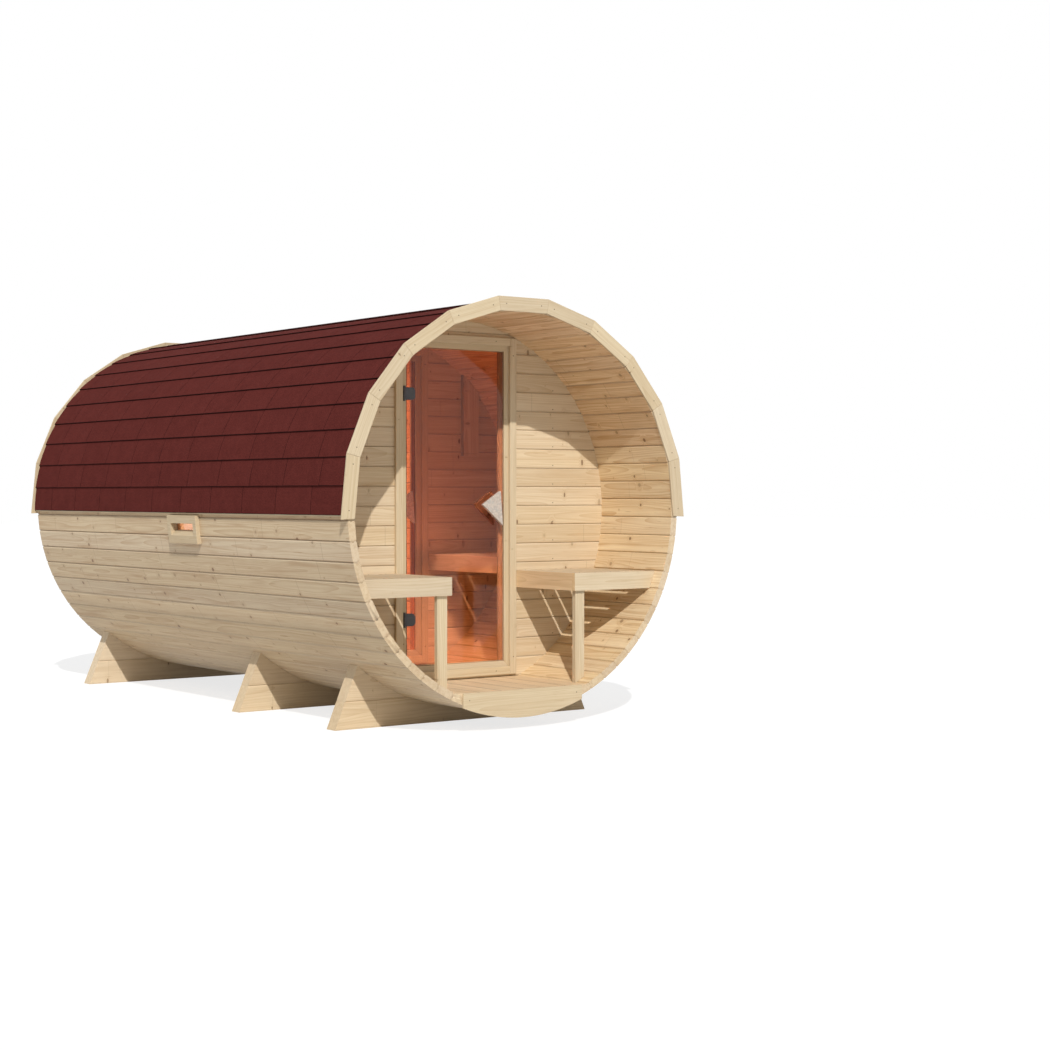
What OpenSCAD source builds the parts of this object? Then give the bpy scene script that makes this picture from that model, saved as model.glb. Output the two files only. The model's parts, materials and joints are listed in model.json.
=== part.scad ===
// Barrel sauna: a lying barrel of wooden staves on three cradles, with an open porch,
// a glazed front door, a small vestibule, a second glazed door and a sauna room.
// The barrel lies along Y, its porch faces -Y, Z is up and the ground is at Z = 0.

/* [Barrel] */
// Outside diameter, across the corners of the staves
barrel_d = 2000; // [1800:10:2300]
// Length of the staves
barrel_len = 3542; // [3000:10:4500]
// Number of staves round the barrel
stave_count = 64; // [48:4:80]
// Thickness of a stave
stave_t = 38; // [30:1:50]
// Bevel along the edges of a stave
stave_bevel = 5; // [1:0.5:6]
// Radius of the round tongue along one edge of a stave
tongue_r = 6; // [4:0.5:9]
// Height of the lowest stave above the ground
ground_gap = 72; // [40:1:150]

/* [Rooms] */
// Depth of the porch, from the stave ends to the front wall
porch_depth = 568; // [450:1:800]
// Length of the vestibule, between its two walls
vestibule_len = 782; // [740:1:1200]
// Distance of the back wall from the rear stave ends
back_inset = 60; // [30:1:200]
// Thickness of the end walls and of the partition
wall_t = 40; // [30:1:60]
// How deep the walls sit in the grooves of the staves
croze_depth = 12; // [6:1:18]
// Width of the upright board on the partition
board_w = 108; // [60:1:150]
// Distance of that board from the middle
board_x = 606; // [380:1:640]
// Height of that board's lower end above the middle of the barrel
board_low = 288; // [100:1:500]
// Half width of the floor where it meets the staves, which sets its height
floor_half_w = 396; // [340:1:460]
// Thickness of the floor boards
floor_t = 26; // [18:1:40]
// Number of floor boards side by side
floor_boards = 6; // [4:1:10]

/* [Doors] */
// Width of the opening in a door frame
doorway_w = 608; // [500:1:640]
// Width of a frame member, seen from the front
jamb_w = 40; // [30:1:55]
// Depth of the rebate that the glass closes into
rebate_d = 24; // [22:1:28]
// Width of the stops on the jambs behind the glass
stop_w = 18; // [10:1:25]
// Width of a casing board
casing_w = 41; // [30:1:55]
// How far a casing board stands in front of the wall
casing_t = 16; // [8:1:16]
// How far a casing board is set back from the edge of the frame
casing_reveal = 29; // [14:1:35]
// Gap under the casing
threshold_gap = 12; // [8:1:20]
// Thickness of the glass
glass_t = 8; // [6:1:10]
// How far the glass lies behind the face of the frame
glass_setback = 6; // [4:1:8]
// Distance of each hinge from the top or bottom of the glass
hinge_inset = 231; // [150:1:350]
// Height of the handle's middle above the floor
handle_h = 877; // [800:1:1000]
// Distance of the handle's straight side from the jamb
handle_edge = 42; // [30:1:90]
// Length of the straight side of the three-cornered handle plate
handle_tall = 178; // [120:1:200]
// Distance of the handle's point from its straight side
handle_w = 120; // [80:1:140]
// How far the handle's point lies above its middle
handle_rise = 18; // [0:1:30]
// How far the top of the straight side leans towards the hinges
handle_lean = 14; // [0:1:20]
// Thickness of a handle plate
handle_t = 18; // [10:1:25]
// How far a handle plate stands off the glass
handle_gap = 28; // [14:1:40]

/* [Benches] */
// Distance of the aisle side of the benches from the middle
aisle_half = 375; // [370:1:450]
// Seat height of the porch benches above the floor
porch_seat_h = 553; // [400:1:600]
// Seat height of the vestibule bench above the floor
vestibule_seat_h = 617; // [450:1:660]
// Distance of the porch benches from the front stave ends
bench_front = 65; // [30:1:150]
// Height of an apron board
apron_h = 89; // [60:1:120]
// Thickness of the apron boards and bearers
bench_board_t = 24; // [18:1:30]
// Number of slats in a seat
slat_count = 5; // [4:1:7]
// Gap beside each slat
slat_gap = 29; // [5:1:35]
// Thickness of a slat
slat_t = 32; // [20:1:40]
// Broad side of a bench leg
leg_w = 57; // [40:1:70]
// Narrow side of a bench leg
leg_t = 24; // [20:1:40]
// How far a leg stands in from the corner of its bench, both ways
leg_inset = 17; // [0:1:40]

/* [Roof] */
// Number of shingle courses on each side
courses = 12; // [9:1:15]
// How far the eave lies below the middle of the barrel
eave_drop = 24; // [15:1:35]
// Thickness of the roof skin at the top of a course
roof_t = 13; // [8:1:18]
// Extra thickness at the lower edge of a course
shingle_butt = 6; // [3:0.5:9]
// Thickness of the ridge strip
ridge_t = 5; // [3:0.5:8]
// Height of the eave batten
batten_h = 37; // [25:1:45]
// How far the eave batten shows below the eave
batten_show = 7; // [2:1:12]

/* [Trim] */
// Number of boards in a trim ring
trim_boards = 11; // [9:2:15]
// Angle that one trim board covers
trim_step = 16.8; // [12:0.1:19]
// Width of a trim board, square to the barrel
trim_w = 71; // [60:1:90]
// How far the corners of the trim stand out beyond the staves
trim_over = 39; // [34:1:55]
// Thickness of the trim boards and of the front fascia
trim_t = 11; // [8:1:30]
// Half width of the fascia
fascia_half = 361; // [300:1:390]
// How far the fascia reaches below the staves
fascia_over = 14; // [2:1:15]

/* [Window] */
// Distance of the window's middle from the front stave ends
window_y = 1614; // [1570:1:2600]
// Width of the window opening
window_w = 250; // [150:1:400]
// Height of the window opening
window_h = 40; // [30:1:60]
// Which stave has the window, counted down from the middle of the left side
window_stave = 1; // [1:1:4]
// Width of the window frame beside the opening
window_side = 36; // [20:1:90]
// Width of the window frame above and below the opening
window_edge = 42; // [20:1:44]
// How far the sill slopes down to the face of the window frame
sill_drop = 24; // [10:1:30]
// How far the window frame stands out from its stave
window_proud = 24; // [15:1:35]
// Thickness of the window pane
pane_t = 6; // [4:1:10]

/* [Cradles] */
// Thickness of a cradle board
cradle_t = 79; // [50:1:100]
// Angle from the bottom of the barrel to the tip of a cradle
cradle_angle = 40.2; // [30:0.1:48]
// How far the foot of a cradle spreads beyond its tip
cradle_spread = 129; // [50:1:200]
// Distance of the front cradle from the front stave ends
cradle_front_y = 482; // [200:1:700]
// Distance of the middle cradle from the front stave ends
cradle_middle_y = 1445; // [1000:1:2000]
// Distance of the back cradle from the rear stave ends
cradle_back_y = 154; // [80:1:600]

/* [Hidden] */
$fn = 64;

// Clearances
stave_gap = 0.6;      // between two staves
tongue_clear = 0.5;   // round a tongue in its groove
croze_clear = 1;      // between a wall's rim and the bottom of its groove
joint_gap = 0.5;      // between boards that butt together
shell_clear = 1;      // between boards and the inside of the staves
leaf_clear = 5;       // round a door leaf
pin_clear = 0.08;     // round a hinge pin
knuckle_gap = 1;      // between two hinge knuckles
board_gap = 3;        // between two floor boards
casing_clear = 2.5;   // between the casing's top corners and the lining of the barrel

// Barrel
stave_r = barrel_d / 2;
room_r = stave_r - stave_t;
stave_step = 360 / stave_count;
stave_mid_r = stave_r - stave_t / 2;
stave_flat = stave_r * cos(stave_step / 2);
axis_z = ground_gap + stave_r;
front_y = -barrel_len / 2;

// Rooms, as distances from the front stave ends
partition_y = porch_depth + wall_t + vestibule_len;
sauna_start = partition_y + wall_t;
back_wall_y = barrel_len - back_inset - wall_t;
wall_places = [porch_depth, partition_y, back_wall_y];
wall_r = room_r + croze_depth - croze_clear;
lining_r = room_r - shell_clear;
floor_z = axis_z - sqrt(room_r * room_r - floor_half_w * floor_half_w);

// Doors, with the casing's top corners just under the staves
doorway_half = doorway_w / 2;
frame_half = doorway_half + jamb_w;
casing_in = doorway_half + casing_reveal;
casing_out = casing_in + casing_w;
casing_bottom = floor_z + threshold_gap;
casing_top = axis_z + sqrt(pow(lining_r - casing_clear, 2) - casing_out * casing_out);
doorway_bottom = casing_bottom + casing_w + casing_reveal;
doorway_top = casing_top - casing_w - casing_reveal;
frame_bottom = doorway_bottom - jamb_w;
frame_top = doorway_top + jamb_w;
glass_half = doorway_half - leaf_clear;
glass_bottom = doorway_bottom + leaf_clear;
glass_top = doorway_top - leaf_clear;
glass_back = glass_setback + glass_t;

// Hinges, measured from the face of the door frame
hinge_r = 6;
pin_r = 3;
hinge_x = -casing_in + leaf_clear + hinge_r;
hinge_y = -leaf_clear - hinge_r;
clamp_w = 66;
clamp_h = 62;
clamp_cut = 12;
clamp_back_t = 4;
bracket_h = 76;
bracket_t = 4;
leaf_knuckle_h = 22;
hinge_heights = [glass_bottom + hinge_inset, glass_top - hinge_inset];

// Handles
handle_x = doorway_half - handle_edge;
handle_z = floor_z + handle_h;
post_r = 9;
post_inset = 26;
post_spread = 38;

// Roof
eave_angle = -asin(eave_drop / stave_r);
course_step = (90 - eave_angle) / courses;
batten_face = stave_flat + roof_t;
batten_top = batten_h - eave_drop - batten_show;

// Trim
trim_out_r = stave_r + trim_over;
trim_in_r = trim_out_r - trim_w / cos(trim_step / 2);

// Window, drawn on the flat of its own stave
window_index = stave_count / 2 + window_stave;
window_face = stave_flat + window_proud;

// Colours
side_wood = [0.71, 0.64, 0.54];
pale_wood = [0.86, 0.78, 0.62];
wall_wood = [0.82, 0.70, 0.53];
roof_red = [0.37, 0.18, 0.16];
bronze_glass = [0.62, 0.25, 0.18, 0.5];
black_metal = [0.16, 0.16, 0.17];

// Stave groups: each takes the staves whose middle lies in its share of the circle
function group_first(from_turn) = ceil(from_turn * stave_count);
function group_staves(from_turn, to_turn) =
    [for (i = [group_first(from_turn) : group_first(to_turn) - 1]) if (i != window_index) i];

function polar(r, a) = [r * cos(a), r * sin(a)];
function course_angle(k) = eave_angle + k * course_step;
// Outside of the roof skin at place k, counted in courses up from the eave
function skin_point(k, part) =
    polar(stave_r + roof_t + (1 - part) * shingle_butt, course_angle(k + part));

// Stands an outline drawn in X and Z upright, from y behind the front stave ends, for a length
module run(y, length) {
    translate([0, front_y + y + length, 0]) rotate([90, 0, 0]) linear_extrude(length) children();
}

// Moves an outline that is centred on the barrel's axis to its height
module on_axis() {
    translate([0, axis_z]) children();
}

// Outline with one flat for each stave, corners at radius r
module drum(r) {
    on_axis() polygon([for (i = [1 : stave_count]) polar(r, (i + 0.5) * stave_step)]);
}

// Upright rectangle from corner to corner, in X and Z
module panel(x1, z1, x2, z2) {
    translate([x1, z1]) square([x2 - x1, z2 - z1]);
}

// Mitred board of a ring, centred on angle 0, with its corners at two radii
module ring_board(r_in, r_out, step, gap, bevel) {
    lean = tan(step / 2);
    x_in = r_in * cos(step / 2);
    x_out = r_out * cos(step / 2);
    side = [
        [x_in, x_in * lean - gap / 2 - bevel],
        [x_in + bevel, (x_in + bevel) * lean - gap / 2],
        [x_out - bevel, (x_out - bevel) * lean - gap / 2],
        [x_out, x_out * lean - gap / 2 - bevel]
    ];
    polygon(concat(side, [for (i = [3 : -1 : 0]) [side[i].x, -side[i].y]]));
}

// Staves

// Cross-section of a stave, with the groove for its neighbour's tongue
module stave_board() {
    difference() {
        ring_board(room_r, stave_r, stave_step, stave_gap, stave_bevel);
        translate(polar(stave_mid_r, -stave_step / 2)) circle(tongue_r + tongue_clear);
    }
}

// Cross-section of the round tongue on the other edge of a stave
module stave_tongue() {
    translate(polar(stave_mid_r, stave_step / 2)) circle(tongue_r);
}

// One stave of full length, at its place in the barrel
module stave(i) {
    run(0, barrel_len) on_axis() rotate(i * stave_step) stave_board();
    run(0, barrel_len) on_axis() rotate(i * stave_step) stave_tongue();
}

// Grooves inside the staves that hold the rims of the walls
module crozes() {
    for (y = wall_places) run(y, wall_t) on_axis() circle(room_r + croze_depth);
}

// Stands an outline on the flat of the window's stave: first axis outward, second axis down
module at_window(width) {
    run(window_y - width / 2, width) on_axis() rotate(window_index * stave_step) children();
}

// Hole for the window, from inside the room to the face of the frame
module window_hole() {
    at_window(window_w) panel(stave_flat - 2 * stave_t, -window_h / 2, window_face, window_h / 2);
}

module staves(list) {
    color(side_wood) difference() {
        for (i = list) stave(i);
        crozes();
        window_hole();
    }
}

// Roof

// Outline of the roof skin on the right side: stepped courses outside, stave flats inside
module roof_outline() {
    first_joint = ceil(asin(batten_top / stave_r) / stave_step - 0.5);
    last_joint = ceil(90 / stave_step - 0.5) - 1;
    outer = [for (k = [0 : courses - 1]) for (part = [0, 0.5, 1]) skin_point(k, part)];
    inner = [for (i = [last_joint : -1 : first_joint]) polar(stave_r, (i + 0.5) * stave_step)];
    eave = [[stave_flat, batten_top], [batten_face, batten_top], [batten_face, -eave_drop]];
    on_axis() polygon(concat(outer, [[0, stave_flat]], inner, eave));
}

module roof_side(right) {
    color(roof_red) run(0, barrel_len) mirror([right ? 0 : 1, 0]) roof_outline();
}

// Strip of shingles bent over the ridge
module ridge_strip() {
    low = skin_point(courses - 1, 0.5);
    top = skin_point(courses - 1, 1);
    under = [low, [0, top.y], [-low.x, low.y]];
    color(roof_red) run(0, barrel_len) on_axis()
        polygon(concat(under, [for (i = [2 : -1 : 0]) under[i] + [0, ridge_t]]));
}

// Wooden battens that lift the lowest course off the staves
module eave_battens() {
    color(pale_wood) for (side = [0, 1]) run(0, barrel_len) mirror([side, 0])
        on_axis() panel(stave_flat, batten_top - batten_h, batten_face, batten_top);
}

// Trim

// Half ring of mitred boards over the stave ends and the roof's edge
module trim_ring(y) {
    first = 90 - (trim_boards - 1) / 2 * trim_step;
    color(pale_wood) run(y, trim_t) on_axis() for (i = [0 : trim_boards - 1])
        rotate(first + i * trim_step) ring_board(trim_in_r, trim_out_r, trim_step, joint_gap, 0);
}

// Board across the front under the porch floor, with upright ends and round below
module front_fascia() {
    color(pale_wood) run(-trim_t, trim_t) intersection() {
        on_axis() circle(stave_r + fascia_over);
        panel(-fascia_half, 0, fascia_half, floor_z);
    }
}

// Walls

// Part of a round wall between two corners
module wall_piece(y, x1, z1, x2, z2) {
    color(wall_wood) run(y, wall_t) intersection() {
        on_axis() circle(wall_r);
        panel(x1, z1, x2, z2);
    }
}

module wall_left(y) {
    wall_piece(y, -stave_r, 0, -frame_half, axis_z + stave_r);
}

module wall_right(y) {
    wall_piece(y, frame_half, 0, stave_r, axis_z + stave_r);
}

module wall_head(y) {
    wall_piece(y, -frame_half, frame_top, frame_half, axis_z + stave_r);
}

module wall_base(y) {
    wall_piece(y, -frame_half, 0, frame_half, frame_bottom);
}

module back_wall() {
    wall_piece(back_wall_y, -stave_r, 0, stave_r, axis_z + stave_r);
}

// Upright board on the front of the partition, beside its door
module partition_board() {
    color(wall_wood) run(partition_y - bench_board_t, bench_board_t) intersection() {
        drum(lining_r);
        panel(board_x, axis_z + board_low, board_x + board_w, axis_z + stave_r);
    }
}

// Doors

// Four mitred outlines round a doorway, with stops of the given width on the two jambs
module mitred_frame(stop) {
    x = frame_half - jamb_w;
    low = frame_bottom + jamb_w;
    high = frame_top - jamb_w;
    jamb_end = [[frame_half, frame_top - joint_gap], [x, high - joint_gap]];
    stop_ends = stop > 0 ? [[x - stop, high - joint_gap], [x - stop, low + joint_gap]] : [];
    jamb_foot = [[x, low + joint_gap], [frame_half, frame_bottom + joint_gap]];
    for (side = [0, 1]) mirror([side, 0]) polygon(concat(jamb_end, stop_ends, jamb_foot));
    polygon([[-frame_half, frame_top], [-x, high], [x, high], [frame_half, frame_top]]);
    polygon([[-frame_half, frame_bottom], [frame_half, frame_bottom], [x, low], [-x, low]]);
}

// Frame members: a front part, and behind it a part with the stops
module door_frame(y) {
    color(pale_wood) {
        run(y, rebate_d) mitred_frame(0);
        run(y + rebate_d, wall_t - rebate_d) mitred_frame(stop_w);
    }
}

// Four casing boards on the wall round the frame
module door_casing(y) {
    rail = casing_in - joint_gap;
    color(pale_wood) run(y - casing_t, casing_t) {
        panel(-casing_out, casing_bottom, -casing_in, casing_top);
        panel(casing_in, casing_bottom, casing_out, casing_top);
        panel(-rail, casing_top - casing_w, rail, casing_top);
        panel(-rail, casing_bottom, rail, casing_bottom + casing_w);
    }
}

module door_glass(y) {
    color(bronze_glass) run(y + glass_setback, glass_t)
        panel(-glass_half, glass_bottom, glass_half, glass_top);
}

// Upright cylinder on a door's hinge axis
module knuckle(y, z, height, r) {
    translate([hinge_x, front_y + y + hinge_y, z]) cylinder(h = height, r = r);
}

// Hinge halves on the frame: a plate beside the casing, two knuckles on arms and the pin
module hinge_brackets(y) {
    side_h = (bracket_h - leaf_knuckle_h) / 2 - knuckle_gap;
    left = hinge_x - hinge_r;
    right = min(hinge_x + hinge_r, -doorway_half);
    color(black_metal) for (z = hinge_heights) {
        run(y - bracket_t, bracket_t) panel(left, z - bracket_h / 2, right, z + bracket_h / 2);
        for (low = [z - bracket_h / 2, z + bracket_h / 2 - side_h]) {
            knuckle(y, low, side_h, hinge_r);
            run(y + hinge_y, -hinge_y) panel(left, low, hinge_x, low + side_h);
        }
        knuckle(y, z - bracket_h / 2, bracket_h, pin_r);
    }
}

// Outline of a glass clamp from x to its free end, which has cut corners
module clamp_plate(x, z) {
    end = hinge_x + clamp_w;
    half = clamp_h / 2;
    polygon([
        [x, z - half], [end - clamp_cut, z - half], [end, z - half + clamp_cut],
        [end, z + half - clamp_cut], [end - clamp_cut, z + half], [x, z + half]
    ]);
}

// Hinge halves on the glass: a knuckle with an arm, a front plate with its pad, and a back plate
module hinge_clamps(y) {
    plate_x = hinge_x + hinge_r + 2 * knuckle_gap;
    front = y + hinge_y;
    color(black_metal) for (z = hinge_heights) {
        difference() {
            union() {
                knuckle(y, z - leaf_knuckle_h / 2, leaf_knuckle_h, hinge_r);
                run(front, hinge_r)
                    panel(hinge_x, z - leaf_knuckle_h / 2, plate_x + hinge_r, z + leaf_knuckle_h / 2);
                run(front, hinge_r) clamp_plate(plate_x, z);
                run(front + hinge_r, glass_setback - hinge_y - hinge_r) clamp_plate(-glass_half, z);
            }
            knuckle(y, z - clamp_h, 2 * clamp_h, pin_r + pin_clear);
        }
        run(y + glass_back, clamp_back_t) clamp_plate(-glass_half, z);
    }
}

// Three-cornered plate that points to the hinges
module handle_outline() {
    translate([handle_x, handle_z]) polygon([
        [handle_lean / 2, -handle_tall / 2], [-handle_lean / 2, handle_tall / 2], [-handle_w, handle_rise]
    ]);
}

// Two posts between a handle plate and the glass
module handle_posts() {
    for (side = [-1, 1]) translate([handle_x - post_inset, handle_z + side * post_spread]) circle(post_r);
}

// Handle plates outside and inside
module door_handles(y) {
    color(pale_wood) {
        run(y + glass_setback - handle_gap - handle_t, handle_t) handle_outline();
        run(y + glass_setback - handle_gap, handle_gap) handle_posts();
        run(y + glass_back + handle_gap, handle_t) handle_outline();
        run(y + glass_back, handle_gap) handle_posts();
    }
}

// Floors

// Floor boards that run along the barrel, cut to its inside
module floor_field(y, length) {
    pitch = 2 * floor_half_w / floor_boards;
    color(wall_wood) run(y, length) for (i = [0 : floor_boards - 1]) intersection() {
        drum(room_r);
        panel(-floor_half_w + i * pitch + board_gap / 2, floor_z - floor_t,
            -floor_half_w + (i + 1) * pitch - board_gap / 2, floor_z);
    }
}

// Benches

// Seat of slats along the barrel, on the right side, cut to the inside of the staves
module seat_slats(y, length, seat_z) {
    first = aisle_half + bench_board_t + joint_gap;
    rise = axis_z - seat_z;
    pitch = (sqrt(lining_r * lining_r - rise * rise) - first) / slat_count;
    run(y, length) for (i = [0 : slat_count - 1]) intersection() {
        drum(lining_r);
        panel(first + i * pitch, seat_z - slat_t, first + (i + 1) * pitch - slat_gap, seat_z);
    }
}

// Cross bearer under the slats
module seat_bearer(y, seat_z) {
    run(y, bench_board_t) intersection() {
        drum(lining_r);
        panel(aisle_half + bench_board_t + joint_gap, seat_z - apron_h, stave_r, seat_z - slat_t);
    }
}

// Board along the aisle side of a seat
module aisle_apron(y, length, seat_z) {
    run(y, length) panel(aisle_half, seat_z - apron_h, aisle_half + bench_board_t, seat_z);
}

// Leg under the corner of a porch bench, scribed to the staves where it meets them
module bench_leg(seat_z) {
    x = aisle_half + leg_inset;
    run(bench_front + leg_inset, leg_t) intersection() {
        drum(lining_r);
        panel(x, floor_z, x + leg_w, seat_z - apron_h - joint_gap);
    }
}

porch_seat_z = floor_z + porch_seat_h;
vestibule_seat_z = floor_z + vestibule_seat_h;

module porch_bench_seat() {
    start = bench_front + bench_board_t + joint_gap;
    color(pale_wood) seat_slats(start, porch_depth - start, porch_seat_z);
}

// Front apron, aisle apron, two bearers and the leg of a porch bench
module porch_bench_frame() {
    start = bench_front + bench_board_t + joint_gap;
    color(pale_wood) {
        run(bench_front, bench_board_t) intersection() {
            drum(lining_r);
            panel(aisle_half, porch_seat_z - apron_h, stave_r, porch_seat_z);
        }
        aisle_apron(start, porch_depth - start, porch_seat_z);
        seat_bearer(start, porch_seat_z);
        seat_bearer(porch_depth - bench_board_t, porch_seat_z);
        bench_leg(porch_seat_z);
    }
}

module vestibule_bench_seat() {
    color(pale_wood) seat_slats(porch_depth + wall_t, vestibule_len, vestibule_seat_z);
}

// Aisle apron and two bearers of the vestibule bench, which rests on its walls
module vestibule_bench_frame() {
    start = porch_depth + wall_t;
    color(pale_wood) {
        aisle_apron(start, vestibule_len, vestibule_seat_z);
        seat_bearer(start, vestibule_seat_z);
        seat_bearer(partition_y - bench_board_t, vestibule_seat_z);
    }
}

// Window

// Box frame on the face of its stave, scribed to the staves beside it, with a sloping sill
module window_frame() {
    half_h = window_h / 2;
    color(pale_wood) difference() {
        at_window(window_w + 2 * window_side)
            panel(stave_flat - stave_t, -half_h - window_edge, window_face, half_h + sill_drop + window_edge);
        run(0, barrel_len) drum(stave_r);
        window_hole();
        at_window(window_w)
            polygon([[stave_flat, half_h], [window_face, half_h], [window_face, half_h + sill_drop]]);
    }
}

module window_pane() {
    color(bronze_glass) at_window(window_w)
        panel(stave_mid_r - pane_t / 2, -window_h / 2, stave_mid_r + pane_t / 2, window_h / 2);
}

// Cradles

// Board on edge, hollowed to the barrel, with slanting ends
module cradle(y) {
    tip = polar(stave_r, cradle_angle - 90);
    foot = tip.x + cradle_spread;
    color(pale_wood) run(y, cradle_t) difference() {
        polygon([[-foot, 0], [foot, 0], [tip.x, axis_z + tip.y], [-tip.x, axis_z + tip.y]]);
        drum(stave_r);
    }
}

staves(group_staves(0.65, 0.85));  // bottom_staves
staves(group_staves(0.45, 0.65));  // left_side_staves
staves(group_staves(0.85, 1.05));  // right_side_staves
staves(group_staves(0.25, 0.45));  // left_roof_staves
staves(group_staves(0.05, 0.25));  // right_roof_staves
staves([window_index]);  // window_stave
trim_ring(-trim_t);  // front_trim
trim_ring(barrel_len);  // back_trim
front_fascia();
roof_side(false);  // roof_left
roof_side(true);  // roof_right
ridge_strip();
eave_battens();
wall_left(porch_depth);  // front_wall_left
wall_right(porch_depth);  // front_wall_right
wall_head(porch_depth);  // front_wall_head
wall_base(porch_depth);  // front_wall_base
wall_left(partition_y);  // partition_left
wall_right(partition_y);  // partition_right
wall_head(partition_y);  // partition_head
wall_base(partition_y);  // partition_base
partition_board();
back_wall();
door_frame(porch_depth);  // front_door_frame
door_casing(porch_depth);  // front_door_casing
hinge_brackets(porch_depth);  // front_hinge_brackets
door_glass(porch_depth);  // front_door_glass
hinge_clamps(porch_depth);  // front_hinge_clamps
door_handles(porch_depth);  // front_door_handles
door_frame(partition_y);  // inner_door_frame
door_casing(partition_y);  // inner_door_casing
hinge_brackets(partition_y);  // inner_hinge_brackets
door_glass(partition_y);  // inner_door_glass
hinge_clamps(partition_y);  // inner_hinge_clamps
door_handles(partition_y);  // inner_door_handles
floor_field(0, porch_depth);  // porch_floor
floor_field(porch_depth + wall_t, vestibule_len);  // vestibule_floor
floor_field(sauna_start, back_wall_y - sauna_start);  // sauna_floor
mirror([1, 0, 0]) porch_bench_seat();  // porch_bench_left_seat
mirror([1, 0, 0]) porch_bench_frame();  // porch_bench_left_frame
porch_bench_seat();  // porch_bench_right_seat
porch_bench_frame();  // porch_bench_right_frame
vestibule_bench_seat();
vestibule_bench_frame();
window_frame();
window_pane();
cradle(cradle_front_y);  // cradle_front
cradle(cradle_middle_y);  // cradle_middle
cradle(barrel_len - cradle_back_y - cradle_t);  // cradle_back
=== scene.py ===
"""Barrel sauna: the finish of every board, shingle, pane and fitting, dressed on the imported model."""
import json
import math
import random

import bmesh
import bpy
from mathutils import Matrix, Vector

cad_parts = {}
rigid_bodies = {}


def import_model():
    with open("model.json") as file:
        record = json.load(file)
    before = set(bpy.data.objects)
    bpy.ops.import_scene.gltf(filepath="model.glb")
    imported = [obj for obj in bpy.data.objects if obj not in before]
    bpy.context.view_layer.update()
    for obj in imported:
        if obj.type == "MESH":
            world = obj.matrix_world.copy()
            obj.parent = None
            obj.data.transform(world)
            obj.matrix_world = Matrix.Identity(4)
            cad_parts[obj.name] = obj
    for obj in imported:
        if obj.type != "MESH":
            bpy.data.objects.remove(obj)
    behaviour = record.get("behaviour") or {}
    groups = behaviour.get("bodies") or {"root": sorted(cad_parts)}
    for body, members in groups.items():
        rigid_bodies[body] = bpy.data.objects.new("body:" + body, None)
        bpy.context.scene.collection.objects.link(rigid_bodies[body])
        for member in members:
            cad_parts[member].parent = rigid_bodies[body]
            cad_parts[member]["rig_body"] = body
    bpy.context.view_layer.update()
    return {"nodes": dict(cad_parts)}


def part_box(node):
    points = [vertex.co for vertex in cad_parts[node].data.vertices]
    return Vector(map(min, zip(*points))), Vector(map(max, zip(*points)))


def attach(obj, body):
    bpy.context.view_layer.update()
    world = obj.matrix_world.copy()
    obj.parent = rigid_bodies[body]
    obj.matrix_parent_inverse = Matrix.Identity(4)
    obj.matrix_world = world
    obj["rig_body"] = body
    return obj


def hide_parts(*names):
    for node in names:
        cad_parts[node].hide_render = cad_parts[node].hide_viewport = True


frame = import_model()

# Sizes read from the frame, in metres
STAVE_LOW, STAVE_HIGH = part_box("bottom_staves")
WALL_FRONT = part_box("front_wall_right")[0].y
AXIS_Z = sum(p.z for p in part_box("back_wall")) / 2
BARREL_R = AXIS_Z - STAVE_LOW.z
BARREL_LEN = STAVE_HIGH.y - STAVE_LOW.y
EAVE_DROP = AXIS_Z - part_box("roof_left")[0].z

# Rounded edges of wooden pieces and of fittings
EDGE = 0.002
SOFT_EDGE = 0.003
SEAT_EDGE = 0.004
FITTING_EDGE = 0.0008

# Planks of the round walls and of the cradles
PLANK = 0.0987
PLANK_TOP = 1.8731
GROOVE = 0.004
CRADLE_JOINT = 0.135
THINNEST_PLANK = 0.012

# Height of the bench aprons
APRON_H = 0.089

# Nails: the size of a head, and how far each lies from the end or edge of its board
NAIL_R = 0.003
NAIL_DOME = 0.3
TRIM_NAIL = 0.045
CASING_NAIL = 0.09
SEAT_NAIL = 0.014
FASCIA_NAIL = 0.035
WALL_NAIL = 0.016
NAIL_COLUMN = 0.626
NAILED_FROM, NAILED_TO = 0.35, 1.75

# A slanting direction that settles which of two opposite ways an axis takes
SLANT = Vector((0.62, 0.31, 0.72))

# Shingles
COURSES = 12
TAB_W = 0.333
TAB_GAP = 0.0045
TAB_T = 0.005
TAB_LIFT = 0.0015
TAB_SKEW = 0.004
EAVE_EDGE = 0.003
SKIN_TOP = 0.013
SKIN_BUTT = 0.006

# Light: where the sun's rays go, how strong it is, and the even light from all round
SUN_WAY = Vector((0.372, 0.687, -0.625))
SUN_STRENGTH = 2.9
SUN_ANGLE = math.radians(0.6)
SKY_STRENGTH = 0.42

# Camera of the photograph
CAMERA_PLACE = (-5.5696, -9.1655, 1.1447)
CAMERA_TURN = (math.radians(89.07), 0, math.radians(-37.05))
CAMERA_LENS = 65.19
SENSOR = 36


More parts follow.
